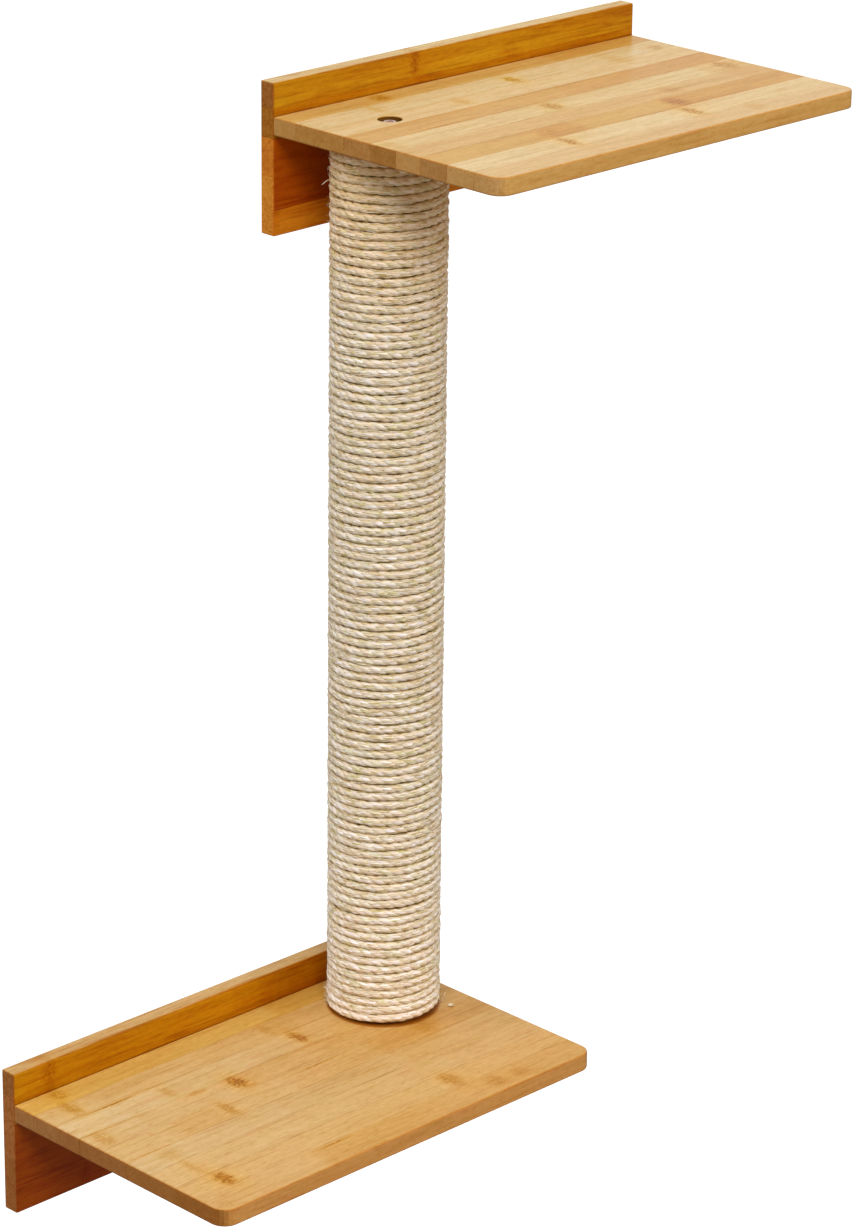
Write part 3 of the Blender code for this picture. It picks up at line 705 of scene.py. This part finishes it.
TUBE_RADIUS = (tube_high.x - tube_low.x) / 2
ROPE_RADIUS = TUBE_RADIUS + ROPE_DIAMETER / 2
ROPE_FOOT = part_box("lower_shelf")[1].z + ROPE_FROM_SHELF + ROPE_DIAMETER / 2
ROPE_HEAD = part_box("upper_shelf")[0].z - ROPE_FROM_SHELF - ROPE_DIAMETER / 2
ROPE_PITCH = (ROPE_HEAD - ROPE_FOOT) / ROPE_TURNS
ROPE_LENGTH = ROPE_TURNS * math.hypot(math.tau * ROPE_RADIUS, ROPE_PITCH)

# Wanders along the rope: each wave's length, its reach and its row of the noise
UP_WAVES = ((55 * MM, 0.45 * MM, 1), (15 * MM, 0.50 * MM, 21))
OUT_WAVES = ((70 * MM, 0.30 * MM, 2),)
LAY_WAVES = ((90 * MM, 0.9, 3),)
SWELL_WAVES = ((14 * MM, 0.14, 4), (5 * MM, 0.10, 8))
OFF_CENTRE_WAVES = ((20 * MM, 0.10, 12),)
ROW_STEP = (7.31, 3.17)


def wander(length, waves, strand=0):
    """A smooth wander at a length along the rope, the sum of some waves, another for each strand."""
    total = 0.0
    for wave, reach, row in waves:
        place = Vector((length / wave, (row + strand) * ROW_STEP[0], (row + strand) * ROW_STEP[1]))
        total += noise.noise(place) * reach
    return total


def nip(length):
    """How much of the rope's thickness is left, less where a staple holds it."""
    from_end = min(length, ROPE_LENGTH - length) - STAPLE_FROM_ROPE_END
    return 1 - STAPLE_NIP * math.exp(-(from_end / STAPLE_NIP_LENGTH) ** 2)


def on_rope(length, out, up):
    """A point at a length along the rope, out from its middle and up from it."""
    share = length / ROPE_LENGTH
    turn = ROPE_START_TURN + share * ROPE_TURNS * math.tau
    settle = min(1, share * ROPE_TURNS, (1 - share) * ROPE_TURNS)
    flare = ROPE_FLARE * max(0, 1 - share * ROPE_TURNS / ROPE_FLARE_TURNS) * settle
    reach = TUBE_RADIUS + ROPE_DIAMETER / 2 * nip(length) + out + wander(length, OUT_WAVES) + flare
    height = ROPE_FOOT + share * (ROPE_HEAD - ROPE_FOOT) + up + wander(length, UP_WAVES) * settle
    return Vector((POST_X + reach * math.cos(turn), POST_Y + reach * math.sin(turn), height))


WELD = 0.001 * MM


def swept(name, routes, radius, sides):
    """Closed tubes along routes of (point, share of the radius), as one mesh in place."""
    curve = bpy.data.curves.new(name, "CURVE")
    curve.dimensions = "3D"
    curve.bevel_depth = radius
    curve.bevel_resolution = (sides - 4) // 2
    curve.use_fill_caps = True
    for route in routes:
        spline = curve.splines.new("POLY")
        spline.points.add(len(route) - 1)
        for point, (place, share) in zip(spline.points, route):
            point.co = (*place, 1)
            point.radius = share
    drawn = bpy.data.objects.new(name, curve)
    bpy.context.scene.collection.objects.link(drawn)
    shown = drawn.evaluated_get(bpy.context.evaluated_depsgraph_get())
    mesh = bpy.data.meshes.new_from_object(shown)
    bpy.data.objects.remove(drawn)
    bm = bmesh.new()
    bm.from_mesh(mesh)
    bmesh.ops.remove_doubles(bm, verts=bm.verts, dist=WELD)
    bm.to_mesh(mesh)
    bm.free()
    mesh.name = name
    return mesh


def on_object(name, mesh, material):
    """A piece that rides on the one body and has its finish."""
    piece = bpy.data.objects.new(name, mesh)
    bpy.context.scene.collection.objects.link(piece)
    mesh.materials.clear()
    mesh.materials.append(material)
    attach(piece, "root")
    return piece


def strand_route(strand):
    """One strand's line round the rope, with its thickness."""
    steps = round(ROPE_LENGTH / STRAND_STEP)
    route = []
    for step in range(steps + 1):
        length = step / steps * ROPE_LENGTH
        lay = math.tau * (length / STRAND_LAY + strand / STRANDS) + wander(length, LAY_WAVES)
        left = nip(length)
        swell = 1 + wander(length, SWELL_WAVES, strand)
        off = STRAND_OFF_CENTRE * (1 + wander(length, OFF_CENTRE_WAVES, strand))
        point = on_rope(length, off * math.sin(lay) * left, off * math.cos(lay))
        route.append((point, swell * (0.5 + 0.5 * left)))
    return route


SISAL = paint(237, 225, 211)
SISAL_WARM = paint(232, 210, 187)
SISAL_GREEN = paint(219, 210, 171)
SISAL_BRIGHT = paint(250, 246, 252)
SISAL_OLIVE = (0.76, 0.71, 0.42, 1)
SISAL_THREAD = (0.54, 0.46, 0.14, 1)
SISAL_GAP_SHADE = (0.36, 0.24, 0.04, 1)
SISAL_HOLLOW_SHADE = (1.00, 0.94, 0.68, 1)
SISAL_FOOT_LIGHT = (1.08, 1.11, 1.17, 1)
SISAL_TOP_SHADE = (1.01, 0.86, 0.63, 1)
SISAL_SHINE = 0.60
SISAL_SHINE_TINT = (1.00, 0.92, 0.86, 1)
SISAL_BUMP = 0.40 * MM
YARNS_ROUND_STRAND = 5
YARN_WANDER = 4

# Sizes in millimetres: the lay of the fibres, three grains along, across and through a strand, two
# across and up the post, and how far off the tube the painted shade of the gaps and the warm painted
# shade of the hollows reach
FIBRE_LAY = 40
THREAD_GRAIN = (9.0, 0.55, 0.55)
TUFT_GRAIN = (9.0, 0.85, 0.85)
DASH_GRAIN = (5.5, 3.0, 3.0)
WARM_GRAIN = (16, 16, 5)
GREEN_GRAIN = (30, 30, 7)
GAP_SHADE_REACH = (2.4, 5.3)
HOLLOW_SHADE_REACH = (3.4, 5.8)

# Shares of the post's height, from its foot, over which some tones change: the gaps' painted shade
# lightens at the foot, painted light pales the foot and warm painted shade darkens the top
FOOT_GAP_SHADE_FADE = (0.0, 0.10)
FOOT_LIGHT_SHARE = (0.0, 0.45)
TOP_SHADE_SHARE = (0.76, 1.0)


def sisal(name, strand):
    """Pale, dry leaf fibre lying along the rope, with painted shade where it lies deep between the turns.
    """
    material, shader = new_finish(name)
    place, _ = surface_fields(material)
    x, y, z = place
    spread = material.node_tree.nodes.new("ShaderNodeUVMap")
    whole = Field(spread.outputs[0])
    apart = whole.node("ShaderNodeSeparateXYZ", sockets={0: whole}).socket.node
    along = Field(apart.outputs[0]) * (ROPE_LENGTH / MM)
    twisted = Field(apart.outputs[1]) * math.tau + along * (math.tau / FIBRE_LAY)
    side = twisted.maths("COSINE") * (STRAND_RADIUS / MM)
    front = twisted.maths("SINE") * (STRAND_RADIUS / MM)
    in_strand = (along, side, front)

    fibre = speckle(float(strand), in_strand, THREAD_GRAIN)
    tuft = speckle(strand + 5.0, in_strand, TUFT_GRAIN)
    patch = speckle(strand + 9.0, place, WARM_GRAIN)
    cast = speckle(strand + 13.0, place, GREEN_GRAIN)
    dash = speckle(strand + 17.0, in_strand, DASH_GRAIN, detail=1)
    off_tube = from_axis(x - POST_X / MM, y - POST_Y / MM) - TUBE_RADIUS / MM
    up_post = (z - ROPE_FOOT / MM) / ((ROPE_HEAD - ROPE_FOOT) / MM)

    colour = patch.between(0.35, 0.65).tint(SISAL, SISAL_WARM)
    colour = cast.between(0.50, 0.70).tint(colour, SISAL_GREEN)
    colour = (tuft.between(0.52, 0.64) * 0.8).tint(colour, SISAL_BRIGHT)
    colour = (1 - tuft).between(0.54, 0.66).shade(colour, SISAL_OLIVE)
    colour = fibre.between(0.54, 0.64).shade(colour, SISAL_THREAD)
    # Painted shade in the gaps between turns, broken into dashes, and warm painted shade in the hollows
    dashed = dash.between(0.42, 0.56) * 0.8 + 0.2
    off_foot = up_post.between(*FOOT_GAP_SHADE_FADE) * 0.5 + 0.5
    colour = ((1 - off_tube.between(*GAP_SHADE_REACH)) * dashed * off_foot).shade(colour, SISAL_GAP_SHADE)
    colour = (1 - off_tube.between(*HOLLOW_SHADE_REACH)).shade(colour, SISAL_HOLLOW_SHADE)
    # Painted light paling the rope towards its foot, and warm painted shade under the upper shelf
    colour = (1 - up_post.between(*FOOT_LIGHT_SHARE)).shade(colour, SISAL_FOOT_LIGHT)
    colour = up_post.between(*TOP_SHADE_SHARE).shade(colour, SISAL_TOP_SHADE)

    yarn = (twisted * YARNS_ROUND_STRAND + (tuft - 0.5) * YARN_WANDER).maths("COSINE") * 0.5 + 0.5
    height = fibre * 0.45 + tuft * 0.30 + yarn * 0.25
    wear(material, shader, colour, 0.46 + fibre * 0.30, height, SISAL_BUMP)
    shader.inputs["Specular IOR Level"].default_value = SISAL_SHINE
    shader.inputs["Specular Tint"].default_value = SISAL_SHINE_TINT
    return material


for strand in range(STRANDS):
    name = f"sisal_strand_{strand + 1}"
    mesh = swept(name, [strand_route(strand)], STRAND_RADIUS, STRAND_SIDES)
    piece = on_object(name, mesh, sisal(name, strand))
    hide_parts("sisal_rope")


# Loose sisal fibres
#
# Leaf fibres that have sprung out of the lay: most lie across a turn or two, some stand off the rope,
# and a fringe stands at each cut end.

FIBRE_RADIUS = 0.10 * MM
FIBRE_POINTS = 5
FIBRE_SIDES = 4
LYING_FIBRES = 4800
STANDING_FIBRES = 1100
FRINGE_FIBRES = 34
FLUFF_FIBRES = 150

# Each stout fibre's turn round the post in degrees, its height, its way as millimetres out from the
# rope and up, and its thickness; then each frayed patch's turn, height, spread and number of fibres
STRAY_FIBRES = (
    (135, -11.5 * MM, ((0, 0), (2.8, -1.2), (5.4, -3.6)), 3.6),
    (132, -3.0 * MM, ((0, 0), (1.5, -1.0), (1.8, -3.0)), 2.0),
    (138, -27.0 * MM, ((0, 0), (1.6, 0.2), (2.6, -0.8)), 2.0),
    (-45, -583.5 * MM, ((0, 0), (2.6, 0.8), (3.8, 4.5), (5.4, 9.5)), 2.8),
)
FUZZ_PATCHES = (
    (135, -577 * MM, 5 * MM, 44), (136, -583 * MM, 2 * MM, 12), (134, -512 * MM, 6 * MM, 12),
)

# How far under the rope's round surface each kind of fibre starts, and how thick and thin some are
LYING_SINK = 0.40 * MM
STANDING_SINK = 0.5 * MM
STRAY_SINK = 0.8 * MM
FUZZ_SINK = 0.6 * MM
FUZZ_THICKNESS = 1.1
FLUFF_THICKNESS = 4
TIP_THINNING = 0.6
STRAY_THINNING = 0.4

draw = random.Random(41)


def fibre_route(start, heading, reach, curl):
    """A bent fibre from a point, thinning to its tip."""
    sideways = heading.cross(Vector((0.3, 0.2, 1))).normalized()
    route = []
    for step in range(FIBRE_POINTS):
        share = step / (FIBRE_POINTS - 1)
        bend = sideways * (curl * share * share)
        route.append((start + (heading + bend) * (reach * share), 1 - TIP_THINNING * share))
    return route


def directions(length):
    """Along the rope, up the post and out from it, at a length along the rope."""
    here = on_rope(length, 0, 0)
    out = Vector((here.x - POST_X, here.y - POST_Y, 0)).normalized()
    up = Vector((0, 0, 1))
    return up.cross(out), up, out


def lying_fibre():
    """A fibre that hugs the winding, held at both ends and raised a little between them."""
    length = draw.uniform(0.01, 0.99) * ROPE_LENGTH
    run = draw.uniform(4, 18) * MM
    climb = draw.uniform(-0.25, 0.25)
    lift = draw.uniform(0.1, 0.6) * MM
    up = draw.uniform(-0.5, 0.5) * ROPE_PITCH
    thick = draw.uniform(0.5, 2.2)
    route = []
    for step in range(FIBRE_POINTS):
        share = step / (FIBRE_POINTS - 1)
        rise = math.sin(math.pi * share)
        out = ROPE_DIAMETER / 2 - LYING_SINK + lift * rise
        point = on_rope(length + run * share, out, up + climb * run * share)
        route.append((point, thick * (0.5 + 0.5 * rise)))
    return route


def standing_fibre():
    """A short fibre that leaves the rope at a slant; one in ten is long."""
    length = draw.uniform(0.002, 0.998) * ROPE_LENGTH
    along, up, out = directions(length)
    off_middle = draw.uniform(-0.4, 0.4) * ROPE_PITCH
    root = on_rope(length, ROPE_DIAMETER / 2 - STANDING_SINK, off_middle)
    heading = along * draw.choice((-1, 1)) + out * draw.uniform(0.1, 0.9) + up * draw.uniform(-0.5, 0.5)
    reach = draw.uniform(1.5, 3.5) * MM if draw.random() < 0.9 else draw.uniform(4, 8) * MM
    return fibre_route(root, heading.normalized(), reach, draw.uniform(-0.5, 0.5))


def fringe_fibre(length, way):
    """A fibre of a cut end, carrying on past it."""
    along, up, out = directions(length)
    turn = draw.uniform(0, math.tau)
    off = draw.uniform(0.3, 2.4) * MM
    root = on_rope(length, off * math.sin(turn), off * math.cos(turn))
    heading = along * way + out * draw.uniform(-0.1, 0.6) + up * draw.uniform(-0.25, 0.25)
    return fibre_route(root, heading.normalized(), draw.uniform(2, 7) * MM, draw.uniform(-0.4, 0.4))


def stray_fibre(turn, height, way, thick):
    """A stout fibre from the rope at a turn and height, by way of points out from it and up."""
    heading = Vector((math.cos(math.radians(turn)), math.sin(math.radians(turn)), 0))
    rim = Vector((POST_X, POST_Y, height)) + heading * (ROPE_RADIUS + ROPE_DIAMETER / 2 - STRAY_SINK)
    route = [rim + (heading * out + Vector((0, 0, up))) * MM for out, up in way]
    return [(point, thick * (1 - STRAY_THINNING * step / len(way))) for step, point in enumerate(route)]


def fuzz_fibre(turn, height, spread):
    """A short, thick fibre of a patch where the rope has frayed."""
    heading = Matrix.Rotation(math.radians(turn + draw.uniform(-9, 9)), 3, "Z") @ Vector((1, 0, 0))
    rim = Vector((POST_X, POST_Y, height + draw.uniform(-1, 1) * spread))
    rim += heading * (ROPE_RADIUS + ROPE_DIAMETER / 2 - FUZZ_SINK)
    way = (heading + Vector((0, 0, draw.uniform(-1.2, 1.0)))).normalized()
    route = fibre_route(rim, way, draw.uniform(1.5, 4.0) * MM, draw.uniform(-0.4, 0.4))
    return [(point, share * FUZZ_THICKNESS) for point, share in route]


FLUFF_FROM_POST = Vector((29.6, -35.2, 0.5)) * MM
FLUFF_PLACE = Vector((POST_X, POST_Y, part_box("lower_shelf")[1].z)) + FLUFF_FROM_POST


def fluff_fibre():
    """A curl of the bit of fluff that lies on the lower shelf beside the post."""
    turn = draw.uniform(0, math.tau)
    bend = Vector((math.cos(turn), math.sin(turn), draw.uniform(0, 0.8)))
    start = FLUFF_PLACE - bend * 1.0 * MM
    route = fibre_route(start, bend, 2.4 * MM, draw.uniform(-0.8, 0.8))
    return [(point, share * FLUFF_THICKNESS) for point, share in route]


LOOSE_PALE = paint(252, 243, 220)
LOOSE_STRAW = paint(226, 204, 162)
LOOSE_OLIVE = (0.66, 0.56, 0.36, 1)
STRAW_GRAIN = (5, 5, 3)
OLIVE_GRAIN = (7, 7, 2)


def fibre_finish():
    """Glossy, nearly white leaf fibre, straw or olive coloured in places."""
    material, shader = new_finish("loose_sisal")
    place, _ = surface_fields(material)
    cast = speckle(21.0, place, STRAW_GRAIN)
    olive = speckle(22.0, place, OLIVE_GRAIN)
    colour = cast.between(0.40, 0.65).tint(LOOSE_PALE, LOOSE_STRAW)
    colour = olive.between(0.52, 0.62).shade(colour, LOOSE_OLIVE)
    wear(material, shader, colour, 0.45 + cast * 0.2)
    return material


loose_finish = fibre_finish()
lying = [lying_fibre() for _ in range(LYING_FIBRES)]
standing = [standing_fibre() for _ in range(STANDING_FIBRES)]
standing += [fringe_fibre(0, -1) for _ in range(FRINGE_FIBRES)]
standing += [fringe_fibre(ROPE_LENGTH, 1) for _ in range(FRINGE_FIBRES)]
standing += [stray_fibre(*stray) for stray in STRAY_FIBRES]
for turn, height, spread, fibres in FUZZ_PATCHES:
    standing += [fuzz_fibre(turn, height, spread) for _ in range(fibres)]
standing += [fluff_fibre() for _ in range(FLUFF_FIBRES)]
for name, routes in (("lying_fibres", lying), ("standing_fibres", standing)):
    mesh = swept(name, routes, FIBRE_RADIUS, FIBRE_SIDES)
    piece = on_object(name, mesh, loose_finish)
    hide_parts("sisal_rope")


# Floor, light and camera
#
# A floor well below the object that looks white, a white surround, and four large soft lamps: the key
# from the camera's side, one nearly overhead, one from the back left and a warm one from the right.

FLOOR_DROP = 0.9
FLOOR_SIZE = 60.0
FLOOR_GREY = (0.38, 0.38, 0.38, 1)
FLOOR_ROUGHNESS = 0.9
FLOOR_GLOW = 0.90

low, high = cad_bounds
bm = bmesh.new()
bmesh.ops.create_grid(bm, x_segments=1, y_segments=1, size=FLOOR_SIZE / 2)
bmesh.ops.translate(bm, verts=bm.verts, vec=(0, 0, low[2] - FLOOR_DROP))
floor_mesh = bpy.data.meshes.new("floor")
bm.to_mesh(floor_mesh)
bm.free()
floor = bpy.data.objects.new("floor", floor_mesh)
bpy.context.scene.collection.objects.link(floor)

floor_paint, floor_shader = new_finish("floor_white")
floor_shader.inputs["Base Color"].default_value = FLOOR_GREY
floor_shader.inputs["Roughness"].default_value = FLOOR_ROUGHNESS
floor_tree = floor_paint.node_tree
ray = floor_tree.nodes.new("ShaderNodeLightPath")
seen = Field(ray.outputs["Is Camera Ray"])
glow = seen.node("ShaderNodeEmission", sockets={"Color": (1, 1, 1, 1), "Strength": seen * FLOOR_GLOW})
lit = glow.node("ShaderNodeAddShader", sockets={0: glow, 1: Field(floor_shader.outputs[0])})
under = Field(floor_tree.nodes.new("ShaderNodeNewGeometry").outputs["Backfacing"])
clear = under.node("ShaderNodeBsdfTransparent")
shown = under.node("ShaderNodeMixShader", sockets={0: under, 1: lit, 2: clear})
floor_tree.links.new(shown.socket, floor_tree.nodes["Material Output"].inputs["Surface"])
floor_mesh.materials.append(floor_paint)

SURROUND_LIGHT = 0.16
world = bpy.data.worlds.new("white_surround")
bpy.context.scene.world = world
world.use_nodes = True
surround = world.node_tree.nodes["Background"]
surround.inputs["Color"].default_value = (1, 1, 1, 1)
path = world.node_tree.nodes.new("ShaderNodeLightPath")
seen = Field(path.outputs["Is Camera Ray"])
for other in ("Is Glossy Ray", "Is Transmission Ray"):
    seen = seen.maths("MAXIMUM", Field(path.outputs[other]))
strength = seen * (1 - SURROUND_LIGHT) + SURROUND_LIGHT
world.node_tree.links.new(strength.socket, surround.inputs["Strength"])

LAMP_TARGET = Vector(((low[0] + high[0]) / 2, (low[1] + high[1]) / 2, (low[2] + high[2]) / 2))


def lamp(name, azimuth, elevation, distance, size, power, colour=(1, 1, 1)):
    """A square soft box that looks at the object; azimuth 0 is in front of it and 90 to its right."""
    light = bpy.data.lights.new(name, "AREA")
    light.size = size
    light.energy = power
    light.color = colour
    lamp_object = bpy.data.objects.new(name, light)
    turn = math.radians(azimuth)
    rise = math.radians(elevation)
    way = Vector((math.sin(turn) * math.cos(rise), -math.cos(turn) * math.cos(rise), math.sin(rise)))
    lamp_object.location = LAMP_TARGET + way * distance
    lamp_object.rotation_euler = way.to_track_quat("Z", "Y").to_euler()
    bpy.context.scene.collection.objects.link(lamp_object)


lamp("key_box", -45, 50, 10.0, 4.5, 640)
lamp("top_box", -10, 78, 10.0, 7.0, 254)
lamp("left_box", -120, 30, 9.0, 4.5, 245)
lamp("right_box", 24, 22, 9.0, 4.5, 254, (1.0, 0.91, 0.78))

CAMERA_PLACE = (-2.06234, -2.06900, 0.75005)
CAMERA_TURN = 44.718
CAMERA_TILT = -20.656
CAMERA_ROLL = 0.622
CAMERA_LENS = 134.02
CAMERA_SENSOR = 36

camera_data = bpy.data.cameras.new("camera")
camera_data.lens = CAMERA_LENS
camera_data.sensor_width = CAMERA_SENSOR
camera = bpy.data.objects.new("camera", camera_data)
turned = Matrix.Rotation(math.radians(-CAMERA_TURN), 4, "Z")
tilted = Matrix.Rotation(math.radians(90 + CAMERA_TILT), 4, "X")
rolled = Matrix.Rotation(math.radians(CAMERA_ROLL), 4, "Z")
camera.matrix_world = Matrix.Translation(CAMERA_PLACE) @ turned @ tilted @ rolled
bpy.context.scene.collection.objects.link(camera)
bpy.context.scene.camera = camera
bpy.context.scene.view_settings.view_transform = "Standard"
